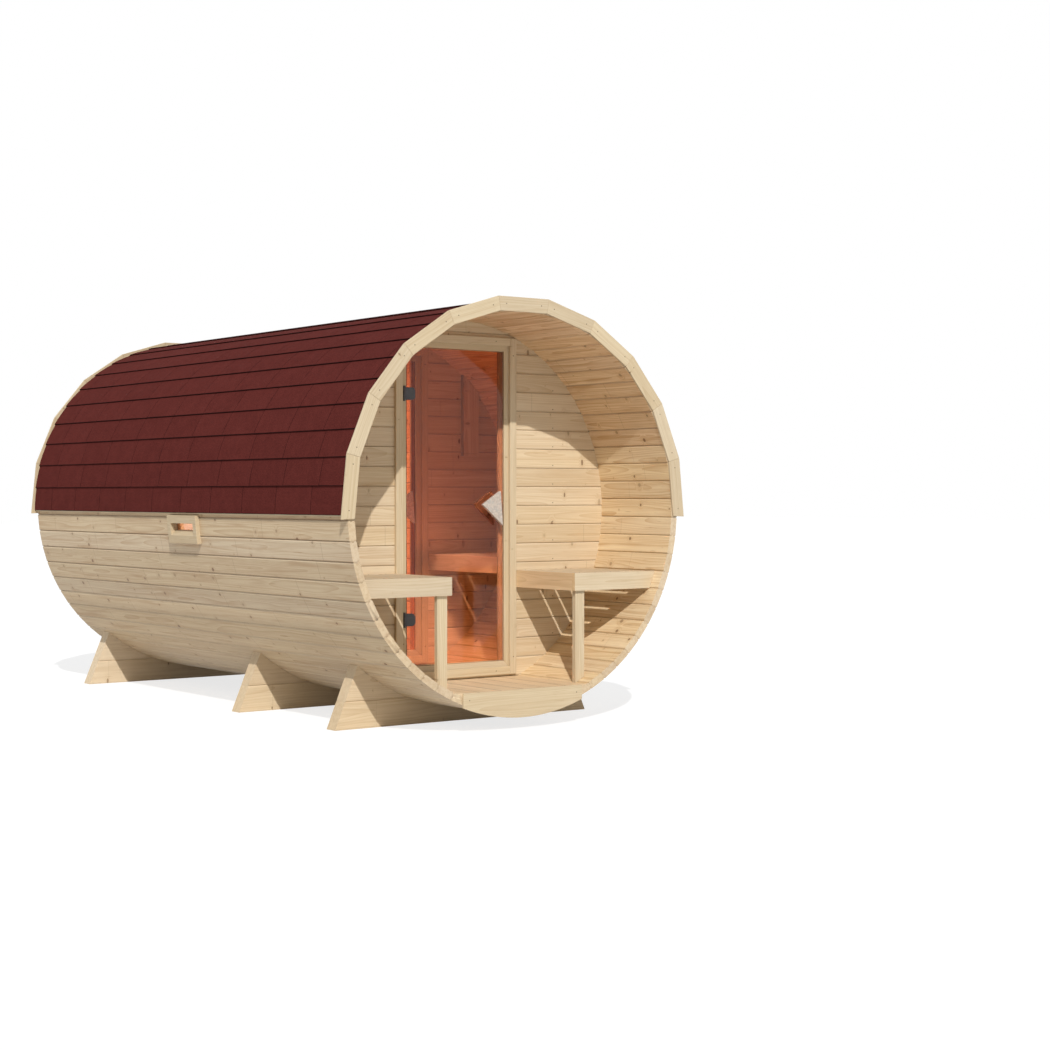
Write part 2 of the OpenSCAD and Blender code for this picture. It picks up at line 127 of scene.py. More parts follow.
class Nodes:
    """A node tree written as nested calls: each call adds a node and gives back its output."""

    def __init__(self, tree):
        self.tree = tree

    def feed(self, socket, value):
        if isinstance(value, bpy.types.NodeSocket):
            self.tree.links.new(value, socket)
        else:
            socket.default_value = value

    def add(self, kind, inputs=None, **settings):
        node = self.tree.nodes.new(kind)
        for name, value in settings.items():
            setattr(node, name, value)
        for key, value in (inputs or {}).items():
            self.feed(node.inputs[key], value)
        return node

    def math(self, operation, *values, clamp=False):
        inputs = dict(enumerate(values))
        return self.add("ShaderNodeMath", inputs, operation=operation, use_clamp=clamp).outputs[0]

    def vector(self, operation, *values):
        node = self.add("ShaderNodeVectorMath", dict(enumerate(values)), operation=operation)
        return node.outputs["Value" if operation in ("LENGTH", "DISTANCE", "DOT_PRODUCT") else "Vector"]

    def noise(self, vector, scale, detail=2.0):
        inputs = {"Vector": vector, "Scale": scale, "Detail": detail}
        return self.add("ShaderNodeTexNoise", inputs).outputs[0]

    def mix(self, share, first, second, blend="MIX"):
        node = self.add("ShaderNodeMix", data_type="RGBA", blend_type=blend)
        self.feed(node.inputs[0], share)
        self.feed(node.inputs[6], first)
        self.feed(node.inputs[7], second)
        return node.outputs[2]

    def combine(self, x, y, z):
        return self.add("ShaderNodeCombineXYZ", {0: x, 1: y, 2: z}).outputs[0]

    def split(self, vector):
        return self.add("ShaderNodeSeparateXYZ", {0: vector}).outputs


def new_group(name, kind, inputs, outputs):
    """A node group with the named inputs, each with a socket type and a value, and the named outputs."""
    group = bpy.data.node_groups.new(name, kind)
    for label, (socket_type, value) in inputs.items():
        socket = group.interface.new_socket(name=label, in_out="INPUT", socket_type=socket_type)
        if value is not None:
            socket.default_value = value
    for label, socket_type in outputs.items():
        group.interface.new_socket(name=label, in_out="OUTPUT", socket_type=socket_type)
    nodes = Nodes(group)
    return group, nodes, nodes.add("NodeGroupInput").outputs, nodes.add("NodeGroupOutput").inputs


FLOAT, COLOUR = "NodeSocketFloat", "NodeSocketColor"


def make_spruce_group():
    """Sawn spruce: growth rings, streaks and knots that follow each board's own length."""
    group, n, given, out = new_group(
        "spruce_grain",
        "ShaderNodeTree",
        {
            "Pale": (COLOUR, (0.70, 0.53, 0.32, 1)),
            "Dark": (COLOUR, (0.50, 0.32, 0.16, 1)),
            "Knot": (COLOUR, (0.13, 0.055, 0.02, 1)),
            "Knots": (FLOAT, 0.45),
            "Knot Length": (FLOAT, 0.45),
            "Ring Width": (FLOAT, 0.006),
            "Figure": (FLOAT, 0.5),
            "Shade Range": (FLOAT, 0.17),
            "Hue Range": (FLOAT, 0.07),
            "Flame": (FLOAT, 0.35),
            # Joint Shade sets the dark butt joints, the painted highlight along each board's upper edge and
            # the painted shade along its lower edge
            "Joint Shade": (FLOAT, 0.0),
        },
        {"Colour": COLOUR, "Roughness": FLOAT, "Height": FLOAT},
    )
    grain = n.add("ShaderNodeAttribute", attribute_name="grain").outputs["Vector"]
    board = n.add("ShaderNodeAttribute", attribute_name="board").outputs["Fac"]
    rim = n.add("ShaderNodeAttribute", attribute_name="rim").outputs["Vector"]
    end = n.add("ShaderNodeAttribute", attribute_name="end").outputs["Fac"]
    along, across, depth = n.split(grain)
    face = n.math("SUBTRACT", 1.0, end)

    # Knots: one at most in each cell of a loose grid on the board's face, with a size of its own
    cell = (0.21, 0.085, 1.0)
    place = n.vector("MULTIPLY", grain, (1 / cell[0], 1 / cell[1], 0))
    spots = {"Vector": place, "Scale": 1.0, "Randomness": 0.8}
    dots = n.add("ShaderNodeTexVoronoi", spots, voronoi_dimensions="2D")
    off = n.vector("MULTIPLY", n.vector("SUBTRACT", place, dots.outputs["Position"]), (cell[0], cell[1], 0))
    off = n.vector("MULTIPLY", off, n.combine(1.0, given["Knot Length"], 0.0))
    ragged = n.math("MULTIPLY", n.math("SUBTRACT", n.noise(grain, 160.0), 0.5), 0.004)
    reach = n.math("ADD", n.vector("LENGTH", off), ragged)
    chance, strength, _ = n.split(dots.outputs["Color"])
    over = n.math("MAXIMUM", n.math("SUBTRACT", chance, n.math("SUBTRACT", 1.0, given["Knots"])), 0.0)
    size = n.math("MULTIPLY", n.math("MULTIPLY", over, 0.024), face)
    strength = n.math("MULTIPLY_ADD", strength, 0.65, 0.3)
    knot = n.math("MULTIPLY", n.math("DIVIDE", n.math("SUBTRACT", size, reach), 0.002, clamp=True), strength)
    halo = n.math("MULTIPLY_ADD", size, 3.5, 0.0005)
    near = n.math("SUBTRACT", 1.0, n.math("DIVIDE", reach, halo), clamp=True)
    swirl = n.math("MULTIPLY", n.math("MULTIPLY", near, near), n.math("MULTIPLY", size, 3.0))

    # Growth rings round a pith that lies beside the board, bent by slow waves and by the knots
    wave = n.math("SUBTRACT", n.noise(n.vector("MULTIPLY", grain, (0.9, 6.0, 6.0)), 1.0), 0.5)
    radius = n.math("SQRT", n.math("ADD", n.math("POWER", across, 2.0), n.math("POWER", depth, 2.0)))
    bent = n.math("ADD", n.math("MULTIPLY_ADD", wave, 0.05, radius), swirl)
    turn = n.math("FRACT", n.math("DIVIDE", bent, given["Ring Width"]))
    late = n.math("POWER", turn, 2.2)
    streak = n.noise(n.vector("MULTIPLY", grain, (1.4, 55.0, 55.0)), 1.0, 3.0)
    fibre = n.noise(n.vector("MULTIPLY", grain, (9.0, 420.0, 420.0)), 1.0)
    resin = n.noise(n.vector("MULTIPLY", grain, (7.0, 130.0, 130.0)), 1.0)
    pocket = n.math("MULTIPLY", n.math("MULTIPLY", n.math("SUBTRACT", resin, 0.66), 9.0, clamp=True), face)
    heart = n.noise(n.vector("MULTIPLY", grain, (2.2, 26.0, 26.0)), 1.0, 2.0)
    flame = n.math("MULTIPLY", n.math("SUBTRACT", heart, 0.56), 7.0, clamp=True)

    # Colour: rings and streaks, a tone for each board and each length in it, then knots, dark butt joints, a
    # painted highlight along each board's upper edge and painted shade along its lower edge
    streaks = n.math("MULTIPLY", n.math("SUBTRACT", streak, 0.42), 1.3)
    figure = n.math("MULTIPLY_ADD", late, given["Figure"], streaks)
    wood = n.mix(n.math("MULTIPLY", figure, 1.0, clamp=True), given["Pale"], given["Dark"])
    reel = n.math("MULTIPLY_ADD", board, 7.0, n.math("DIVIDE", along, 0.83))
    length = n.math("FLOOR", reel)
    butt = n.math("LESS_THAN", n.math("FRACT", reel), 0.004)
    seed = n.combine(length, board, 0.0)
    chances = n.add("ShaderNodeTexWhiteNoise", {"Vector": seed}, noise_dimensions="3D").outputs["Color"]
    dim = n.split(chances)[0]
    warm = n.math("FRACT", n.math("MULTIPLY", board, 17.0))
    both = n.math("MULTIPLY_ADD", dim, 0.18, n.math("MULTIPLY", board, 0.82))
    shade = n.math("MULTIPLY_ADD", n.math("SUBTRACT", both, 0.5), given["Shade Range"], 1.0)
    tone = n.math("MULTIPLY_ADD", n.math("SUBTRACT", fibre, 0.5), 0.16, shade)
    hue = n.math("MULTIPLY", n.math("SUBTRACT", warm, 0.5), given["Hue Range"])
    blue = n.math("MULTIPLY", n.math("POWER", tone, 1.6), n.math("SUBTRACT", 1.0, hue))
    red = n.math("MULTIPLY", tone, n.math("MULTIPLY_ADD", hue, 0.3, 1.0))
    wood = n.mix(1.0, wood, n.combine(red, n.math("POWER", tone, 1.25), blue), "MULTIPLY")
    ring = n.math("MULTIPLY", near, 0.4)
    wood = n.mix(n.math("MULTIPLY", ring, n.math("GREATER_THAN", size, 0.001)), wood, given["Dark"])
    wood = n.mix(n.math("MULTIPLY", n.math("MULTIPLY", flame, face), given["Flame"]), wood, given["Dark"])
    butt_shade = n.math("MULTIPLY", given["Joint Shade"], 0.4)
    wood = n.mix(n.math("MULTIPLY", n.math("MULTIPLY", butt, face), butt_shade), wood, given["Knot"])
    wood = n.mix(n.math("MULTIPLY", pocket, given["Flame"]), wood, (0.36, 0.20, 0.09, 1))
    wood = n.mix(n.math("MULTIPLY", knot, 0.85), wood, given["Knot"])
    low, high, _ = n.split(rim)
    # Painted highlight: a paler band along each board's upper edge, where light would catch the rounded edge;
    # none on end faces
    painted_highlight = n.math("SUBTRACT", 1.0, n.math("DIVIDE", high, 0.008), clamp=True)
    painted_highlight = n.math("MULTIPLY", n.math("MULTIPLY", painted_highlight, face), given["Joint Shade"])
    wood = n.mix(n.math("MULTIPLY", painted_highlight, 0.6), wood, (0.86, 0.74, 0.54, 1))
    # A dark joint line at each board's lower edge, with painted shade fading up from it over 11 mm, weaker on
    # end faces
    joint_line_and_painted_shade = n.math("SUBTRACT", 1.0, n.math("DIVIDE", low, 0.011), clamp=True)
    joint_line_and_painted_shade = n.math("MULTIPLY", n.math("POWER", joint_line_and_painted_shade, 1.6), n.math("MULTIPLY_ADD", end, -0.6, 1.0))
    wood = n.mix(n.math("MULTIPLY", joint_line_and_painted_shade, given["Joint Shade"]), wood, given["Knot"])
    n.feed(out["Colour"], wood)
    n.feed(out["Roughness"], n.math("MULTIPLY_ADD", streak, -0.14, n.math("MULTIPLY_ADD", knot, -0.15, 0.68)))
    ridge = n.math("MULTIPLY_ADD", late, 0.35, n.math("MULTIPLY", fibre, 0.5))
    n.feed(out["Height"], n.math("MULTIPLY_ADD", knot, 0.8, ridge))
    return group


SPRUCE = make_spruce_group()


def new_material(name):
    """A material with its Principled shader, as node calls and the shader's inputs."""
    material = bpy.data.materials.new(name)
    material.use_nodes = True
    nodes = Nodes(material.node_tree)
    return material, nodes, material.node_tree.nodes["Principled BSDF"].inputs


def spruce(name, **values):
    """A spruce finish with its own values for the shared grain."""
    material, n, surface = new_material(name)
    grain = n.add("ShaderNodeGroup", node_tree=SPRUCE)
    for label, value in values.items():
        grain.inputs[label.replace("_", " ").title()].default_value = value
    bump = n.add("ShaderNodeBump", {"Height": grain.outputs["Height"], "Strength": 0.5, "Distance": 0.0008})
    n.feed(surface["Base Color"], grain.outputs["Colour"])
    n.feed(surface["Roughness"], grain.outputs["Roughness"])
    n.feed(surface["Normal"], bump.outputs[0])
    surface["Specular IOR Level"].default_value = 0.3
    return material


def speckled_wood(name, warm, cool, pale):
    """Wood of the handles, with warm, cool and pale specks."""
    material, n, surface = new_material(name)
    place = n.add("ShaderNodeTexCoord").outputs["Object"]
    speck = n.math("MULTIPLY_ADD", n.math("SUBTRACT", n.noise(place, 110.0, 2.0), 0.5), 3.0, 0.5, clamp=True)
    blush = n.math("MULTIPLY_ADD", n.math("SUBTRACT", n.noise(place, 60.0, 2.0), 0.5), 3.0, 0.5, clamp=True)
    n.feed(surface["Base Color"], n.mix(speck, n.mix(blush, warm, cool), pale))
    surface["Roughness"].default_value = 0.6
    surface["Specular IOR Level"].default_value = 0.3
    return material


def shingle_finish(name, low, high):
    """Mineral granules on bitumen: dark red grit, with a tone for each tab."""
    material, n, surface = new_material(name)
    place = n.add("ShaderNodeTexCoord").outputs["Object"]
    tab = n.add("ShaderNodeAttribute", attribute_name="tab").outputs["Fac"]
    grit = n.add("ShaderNodeTexVoronoi", {"Vector": place, "Scale": 420.0}).outputs
    speck = n.split(grit["Color"])[0]
    blotch = n.noise(place, 14.0, 4.0)
    patch = n.math("MULTIPLY_ADD", blotch, 0.35, n.math("MULTIPLY", tab, 0.07))
    tone = n.math("MULTIPLY_ADD", speck, 0.6, patch)
    n.feed(surface["Base Color"], n.mix(tone, low, high))
    n.feed(surface["Roughness"], n.math("MULTIPLY_ADD", speck, 0.1, 0.88))
    height = n.math("MULTIPLY_ADD", grit["Distance"], -1.0, n.math("MULTIPLY", blotch, 0.4))
    bump = n.add("ShaderNodeBump", {"Height": height, "Strength": 0.5, "Distance": 0.0012})
    n.feed(surface["Normal"], bump.outputs[0])
    surface["Specular IOR Level"].default_value = 0.03
    return material


def tinted_glass(name, tint, bend):
    """Tinted safety glass. The light that falls through it is less tinted than the view."""
    material, n, surface = new_material(name)
    surface["Base Color"].default_value = tint
    surface["Transmission Weight"].default_value = 1.0
    surface["Roughness"].default_value = 0.0
    surface["IOR"].default_value = bend
    path = n.add("ShaderNodeLightPath").outputs["Is Shadow Ray"]
    through = n.add("ShaderNodeBsdfTransparent", {"Color": (0.72, 0.655, 0.58, 1)}).outputs[0]
    shader = material.node_tree.nodes["Principled BSDF"].outputs[0]
    both = n.add("ShaderNodeMixShader", {0: path, 1: shader, 2: through}).outputs[0]
    n.feed(material.node_tree.nodes["Material Output"].inputs["Surface"], both)
    return material


def black_fitting():
    """Satin black powder coat, a little rubbed and with a fine orange-peel skin."""
    material, n, surface = new_material("satin_black")
    place = n.add("ShaderNodeTexCoord").outputs["Object"]
    rub = n.noise(place, 45.0, 4.0)
    n.feed(surface["Base Color"], n.mix(rub, (0.028, 0.028, 0.032, 1), (0.075, 0.072, 0.075, 1)))
    n.feed(surface["Roughness"], n.math("MULTIPLY_ADD", rub, 0.25, 0.3))
    bump = n.add("ShaderNodeBump", {"Height": n.noise(place, 700.0), "Strength": 0.15, "Distance": 0.0003})
    n.feed(surface["Normal"], bump.outputs[0])
    return material


def steel_finish():
    """Dark steel on nail heads, dulled in patches."""
    material, n, surface = new_material("nail_steel")
    place = n.add("ShaderNodeTexCoord").outputs["Object"]
    dull = n.noise(place, 300.0)
    n.feed(surface["Base Color"], n.mix(dull, (0.10, 0.075, 0.05, 1), (0.20, 0.16, 0.11, 1)))
    n.feed(surface["Roughness"], n.math("MULTIPLY_ADD", dull, 0.3, 0.35))
    surface["Metallic"].default_value = 0.7
    return material


STAVE = spruce(
    "stave_spruce",
    pale=(0.655, 0.52, 0.345, 1),
    dark=(0.46, 0.30, 0.17, 1),
    knot=(0.17, 0.075, 0.03, 1),
    knots=0.55,
    knot_length=1.2,
    flame=0.6,
    joint_shade=0.85,
)
LINING = spruce(
    "lining_spruce",
    pale=(0.77, 0.56, 0.335, 1),
    dark=(0.54, 0.32, 0.15, 1),
    knots=0.5,
    knot_length=1.0,
    figure=0.7,
    flame=0.65,
    joint_shade=0.65,
)
# A copy of the lining painted paler, with fainter joints, standing for sunlight on the inner faces of the
# lower staves
LOW_LINING_PAINTED_LIT = spruce(
    "low_lining_spruce_painted_lit",
    pale=(0.79, 0.615, 0.38, 1),
    dark=(0.56, 0.355, 0.17, 1),
    knots=0.5,
    knot_length=1.0,
    figure=0.6,
    flame=0.6,
    joint_shade=0.4,
)
WALL = spruce(
    "wall_spruce",
    pale=(0.695, 0.555, 0.37, 1),
    dark=(0.54, 0.38, 0.215, 1),
    joint_shade=0.55,
)
TRIM = spruce(
    "trim_spruce",
    pale=(0.62, 0.50, 0.33, 1),
    dark=(0.50, 0.37, 0.22, 1),
    knots=0.2,
    shade_range=0.14,
)
BENCH = spruce(
    "bench_spruce",
    pale=(0.64, 0.52, 0.36, 1),
    dark=(0.51, 0.38, 0.23, 1),
    knots=0.2,
    shade_range=0.16,
)
WARM_BENCH = spruce(
    "warm_spruce",
    pale=(0.74, 0.54, 0.315, 1),
    dark=(0.59, 0.395, 0.20, 1),
    knots=0.2,
    shade_range=0.16,
)
# Spruce of the vestibule bench, painted paler to stand for the sunlight that falls on it through the door
# glass
PAINTED_SUNLIT_BENCH = spruce(
    "vestibule_spruce_painted_sunlit",
    pale=(0.84, 0.70, 0.50, 1),
    dark=(0.70, 0.55, 0.36, 1),
    knots=0.1,
    shade_range=0.1,
)
FLOOR = spruce(
    "floor_spruce",
    pale=(0.76, 0.585, 0.38, 1),
    dark=(0.57, 0.40, 0.22, 1),
    knots=0.3,
    joint_shade=0.5,
)
CRADLE = spruce(
    "cradle_spruce",
    pale=(0.72, 0.575, 0.39, 1),
    dark=(0.56, 0.41, 0.245, 1),
    knots=0.3,
    joint_shade=0.25,
)
# The front door frame's faces behind the glass: spruce painted dark as shade
STOP_PAINTED_SHADE = spruce("stop_spruce_painted_shade", pale=(0.37, 0.29, 0.19, 1), dark=(0.29, 0.21, 0.12, 1), knots=0.2)
HANDLE = speckled_wood(
    "bleached_wood",
    warm=(0.44, 0.36, 0.30, 1),
    cool=(0.40, 0.385, 0.36, 1),
    pale=(0.60, 0.53, 0.455, 1),
)
# The handle faces behind the glass: the handle wood painted dark as shade
HANDLE_PAINTED_SHADE = speckled_wood(
    "handle_wood_painted_shade",
    warm=(0.15, 0.09, 0.055, 1),
    cool=(0.13, 0.085, 0.06, 1),
    pale=(0.24, 0.15, 0.10, 1),
)
SHINGLE = shingle_finish("shingle_grit", (0.0525, 0.0094, 0.0081, 1), (0.1575, 0.0341, 0.0281, 1))
UNDERLAY = shingle_finish("shingle_underlay", (0.010, 0.003, 0.003, 1), (0.040, 0.010, 0.009, 1))
DOOR_GLASS = tinted_glass("door_glass", (0.90, 0.54, 0.41, 1), 1.33)
WINDOW_GLASS = tinted_glass("window_glass", (0.92, 0.64, 0.52, 1), 1.55)
BLACK = black_fitting()
STEEL = steel_finish()


def body_of(node):
    return frame["nodes"][node]["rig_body"]


def add_piece(mesh, name, body, materials):
    """A finished mesh as a piece of the object that moves with a body."""
    piece = bpy.data.objects.new(name, mesh)
    bpy.context.scene.collection.objects.link(piece)
    for material in materials:
        mesh.materials.append(material)
    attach(piece, body)
    return piece


def merged_copy(node):
    """A node's mesh with its doubles merged and its flat faces whole."""
    bm = bmesh.new()
    bm.from_mesh(frame["nodes"][node].data)
    bmesh.ops.remove_doubles(bm, verts=bm.verts, dist=1e-5)
    bmesh.ops.dissolve_limit(bm, angle_limit=math.radians(0.5), verts=bm.verts, edges=bm.edges)
    return bm


def islands(bm):
    """The separate boards in a mesh, each as a list of its vertices, in a fixed order."""
    bm.verts.index_update()
    seen = set()
    boards = []
    for first in bm.verts:
        if first.index in seen:
            continue
        seen.add(first.index)
        reached = [first]
        board = []
        while reached:
            vert = reached.pop()
            board.append(vert)
            for edge in vert.link_edges:
                other = edge.other_vert(vert)
                if other.index not in seen:
                    seen.add(other.index)
                    reached.append(other)
        boards.append(board)
    return sorted(boards, key=lambda b: [round(v, 4) for v in sum((v.co for v in b), Vector()) / len(b)])


def spread(board, way):
    places = [v.co.dot(way) for v in board]
    return max(places) - min(places)


def settled(way):
    """Of a direction and its opposite, always the same one."""
    return way.copy() if way.dot(SLANT) > 0 else -way


def edge_rank(edge):
    """Ranks edges by length, and those of one length by their direction."""
    way = edge.verts[1].co - edge.verts[0].co
    return round(way.length, 4), round(abs(way.dot(SLANT)), 4)


def board_axes(board):
    """The directions along a board, across its face and through its thickness."""
    longest = max((edge for vert in board for edge in vert.link_edges), key=edge_rank)
    along = settled((longest.verts[1].co - longest.verts[0].co).normalized())
    faces = {face.index: face for vert in board for face in vert.link_faces}
    sides = [settled(f.normal) for f in faces.values() if abs(f.normal.dot(along)) < 0.05]
    depth = min(sides, key=lambda way: (round(spread(board, way), 4), -round(way.dot(SLANT), 4)))
    depth = (depth - along * depth.dot(along)).normalized()
    across = depth.cross(along)
    rise = across.z if abs(across.z) > 0.001 else across.dot(SLANT)
    return along, across if rise > 0 else -across, depth


def lay_grain(bm, seed):
    """Gives each board its own place in the grain, and returns where the boards lie."""
    bm.faces.index_update()
    rng = random.Random(seed)
    grain = bm.verts.layers.float_vector.new("grain")
    rim = bm.verts.layers.float_vector.new("rim")
    tone = bm.verts.layers.float.new("board")
    end = bm.faces.layers.float.new("end")
    laid = []
    for board in islands(bm):
        along, across, depth = board_axes(board)
        middle = sum((v.co for v in board), Vector()) / len(board)
        centre = sum(sorted(v.co.dot(depth) for v in board)[::len(board) - 1]) / 2
        outer = [v for v in board if abs(v.co.dot(depth) - centre) > 0.35 * spread(board, depth)]
        low = min(v.co.dot(across) for v in outer)
        high = max(v.co.dot(across) for v in outer)
        start = rng.uniform(2, 60)
        pith = rng.uniform(-0.05, 0.05)
        rise = rng.choice((-1, 1)) * rng.uniform(0.025, 0.09)
        shade = rng.random()
        for vert in board:
            way = vert.co - middle
            vert[grain] = (way.dot(along) + start, way.dot(across) + pith, way.dot(depth) + rise)
            # Distances from the board's lower and upper edges, which the grain's painted shade and painted
            # highlight read
            vert[rim] = (vert.co.dot(across) - low, high - vert.co.dot(across), 0)
            vert[tone] = shade
        for face in {face for vert in board for face in vert.link_faces}:
            face[end] = float(abs(face.normal.dot(along)) > 0.9)
        laid.append((middle, along, across, depth, board))
    return laid


def round_edges(bm, width):
    """Takes the sharp edges off boards."""
    sharp = [e for e in bm.edges if e.is_manifold and e.calc_face_angle() > math.radians(30)]
    bmesh.ops.bevel(
        bm, geom=sharp, offset=width, segments=2, profile=0.6, affect="EDGES", clamp_overlap=True
    )


NAILS = []


def add_nail(place, facing):
    NAILS.append((Vector(place), Vector(facing)))


def nail_ends(laid, facing, inset):
    """Marks a nail near both ends of each board, on the side that faces the given way."""
    for middle, along, across, depth, board in laid:
        half = spread(board, along) / 2 - inset
        top = max(v.co.dot(facing) for v in board) - middle.dot(facing)
        for way in (-1, 1):
            add_nail(middle + along * (half * way) + facing * top, facing)


def faces_axis(face):
    middle = face.calc_center_median()
    return face.normal.dot(Vector((-middle.x, 0, AXIS_Z - middle.z)).normalized()) > 0.3


def boards_piece(node, finishes, edge=EDGE, nails=None, choose=None):
    """Dresses a wooden node: rounded edges, grain along each board, and a chosen finish on each face."""
    bm = merged_copy(node)
    if edge:
        round_edges(bm, edge)
    laid = lay_grain(bm, node)
    if nails:
        nail_ends(laid, *nails)
    if choose:
        for face in bm.faces:
            face.material_index = int(choose(face))
    mesh = bpy.data.meshes.new(node + "_wood")
    bm.to_mesh(mesh)
    bm.free()
    piece = add_piece(mesh, node + "_wood", body_of(node), finishes)
    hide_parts(node)
    return piece


def cut_plank(bm, low, high):
    """The part of a wall between two heights, closed, with V-grooves along its long edges."""
    plank = bm.copy()
    for height, way in ((low, -1), (high, 1)):
        geometry = plank.verts[:] + plank.edges[:] + plank.faces[:]
        bmesh.ops.bisect_plane(
            plank, geom=geometry, plane_co=(0, 0, height), plane_no=(0, 0, way), clear_outer=True
        )
        bmesh.ops.holes_fill(plank, edges=[e for e in plank.edges if e.is_boundary])
    bmesh.ops.recalc_face_normals(plank, faces=plank.faces)
    grooves = []
    for edge in plank.edges:
        level = abs(edge.verts[0].co.z - edge.verts[1].co.z) < 1e-5
        at_cut = any(abs(edge.verts[0].co.z - height) < 1e-5 for height in (low, high))
        if level and at_cut and any(abs(f.normal.y) > 0.9 for f in edge.link_faces):
            grooves.append(edge)
    bmesh.ops.bevel(
        plank, geom=grooves, offset=GROOVE, segments=1, profile=0.5, affect="EDGES", clamp_overlap=True
    )
    return plank


def planked_piece(node, joints, material):
    """A node cut into boards that lie across it, with a V-groove at each joint."""
    low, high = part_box(node)
    whole = merged_copy(node)
    inside = [z for z in joints if low.z + THINNEST_PLANK < z < high.z - THINNEST_PLANK]
    levels = [low.z - 0.01] + inside + [high.z + 0.01]
    wall = bmesh.new()
    for bottom, top in zip(levels, levels[1:]):
        plank = cut_plank(whole, bottom, top)
        mesh = bpy.data.meshes.new("plank")
        plank.to_mesh(mesh)
        plank.free()
        wall.from_mesh(mesh)
        bpy.data.meshes.remove(mesh)
    whole.free()
    lay_grain(wall, node)
    mesh = bpy.data.meshes.new(node + "_planks")
    wall.to_mesh(mesh)
    wall.free()
    piece = add_piece(mesh, node + "_planks", body_of(node), [material])
    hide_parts(node)
    return piece


def behind(depth):
    """A choice of the faces that lie behind a depth."""

    def is_behind(face):
        return face.calc_center_median().y > depth

    return is_behind


def bench_part(face):
    """Which finish a face of a porch bench's frame has: 1 on the leg, 2 on a left side, otherwise 0."""
    if face.calc_center_median().z < LEG_TOP:
        return 1
    return 2 if face.normal.x < -0.9 else 0


# Staves, trim, walls, doors, floors, benches, window and cradles
FRONT, BACK, UP = Vector((0, -1, 0)), Vector((0, 1, 0)), Vector((0, 0, 1))
WALL_JOINTS = [PLANK_TOP - PLANK * k for k in range(20, -3, -1)]
LEG_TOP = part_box("porch_bench_left_frame")[1].z - APRON_H - 0.001
# Outer faces of the staves take the stave finish; inner faces of the side and bottom staves take the lining
# copy painted paler as sunlit
for node in ("bottom_staves", "left_side_staves", "right_side_staves", "window_stave"):
    boards_piece(node, [STAVE, LOW_LINING_PAINTED_LIT], edge=0, choose=faces_axis)
for node in ("left_roof_staves", "right_roof_staves"):
    boards_piece(node, [STAVE, LINING], edge=0, choose=faces_axis)
boards_piece("front_trim", [TRIM], nails=(FRONT, TRIM_NAIL))
boards_piece("back_trim", [TRIM], nails=(BACK, TRIM_NAIL))
for node in ("front_fascia", "eave_battens", "window_frame"):
    boards_piece(node, [TRIM])
for wall in ("front_wall", "partition"):
    for side in ("left", "right", "head", "base"):
        planked_piece(wall + "_" + side, WALL_JOINTS, WALL)
planked_piece("back_wall", WALL_JOINTS, WALL)
boards_piece("partition_board", [WALL])
# Behind the glass, the front door frame's faces and both doors' handle faces are painted dark as shade
for door, stop in (("front_door", STOP_PAINTED_SHADE), ("inner_door", TRIM)):
    inner = behind(sum(p.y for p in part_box(door + "_glass")) / 2)
    boards_piece(door + "_frame", [TRIM, stop], choose=inner)
    boards_piece(door + "_casing", [TRIM], nails=(FRONT, CASING_NAIL))
    boards_piece(door + "_handles", [HANDLE, HANDLE_PAINTED_SHADE], edge=SOFT_EDGE, choose=inner)
for room in ("porch", "vestibule", "sauna"):
    boards_piece(room + "_floor", [FLOOR])
for bench in ("porch_bench_left", "porch_bench_right"):
    boards_piece(bench + "_seat", [BENCH], edge=SEAT_EDGE, nails=(UP, SEAT_NAIL))
    boards_piece(bench + "_frame", [BENCH, TRIM, WARM_BENCH], edge=SOFT_EDGE, choose=bench_part)
# The vestibule bench takes the spruce painted paler as sunlit
boards_piece("vestibule_bench_seat", [PAINTED_SUNLIT_BENCH], edge=SEAT_EDGE, nails=(UP, SEAT_NAIL))
boards_piece("vestibule_bench_frame", [PAINTED_SUNLIT_BENCH], edge=SOFT_EDGE)
for place in ("front", "middle", "back"):
    planked_piece("cradle_" + place, [CRADLE_JOINT], CRADLE)


def refinish(node, material, width=0.0, flat=False):
    """Keeps a node's own shape, with a new finish and, if asked, a fine rounded edge or flat faces."""
    node_object = frame["nodes"][node]
    node_object.data.materials.clear()
    node_object.data.materials.append(material)
    if width:
        weld = node_object.modifiers.new("weld", "WELD")
        weld.merge_threshold = 1e-5
        bevel = node_object.modifiers.new("edges", "BEVEL")
        bevel.width = width
        bevel.segments = 2
        bevel.limit_method = "ANGLE"
    if flat:
        node_object.modifiers.new("flat_faces", "EDGE_SPLIT").split_angle = math.radians(20)


for door in ("front", "inner"):
    refinish(door + "_door_glass", DOOR_GLASS, flat=True)
    refinish(door + "_hinge_brackets", BLACK, FITTING_EDGE)
    refinish(door + "_hinge_clamps", BLACK, FITTING_EDGE)
refinish("window_pane", WINDOW_GLASS, flat=True)
refinish("roof_left", UNDERLAY)
refinish("roof_right", UNDERLAY)
refinish("ridge_strip", SHINGLE)


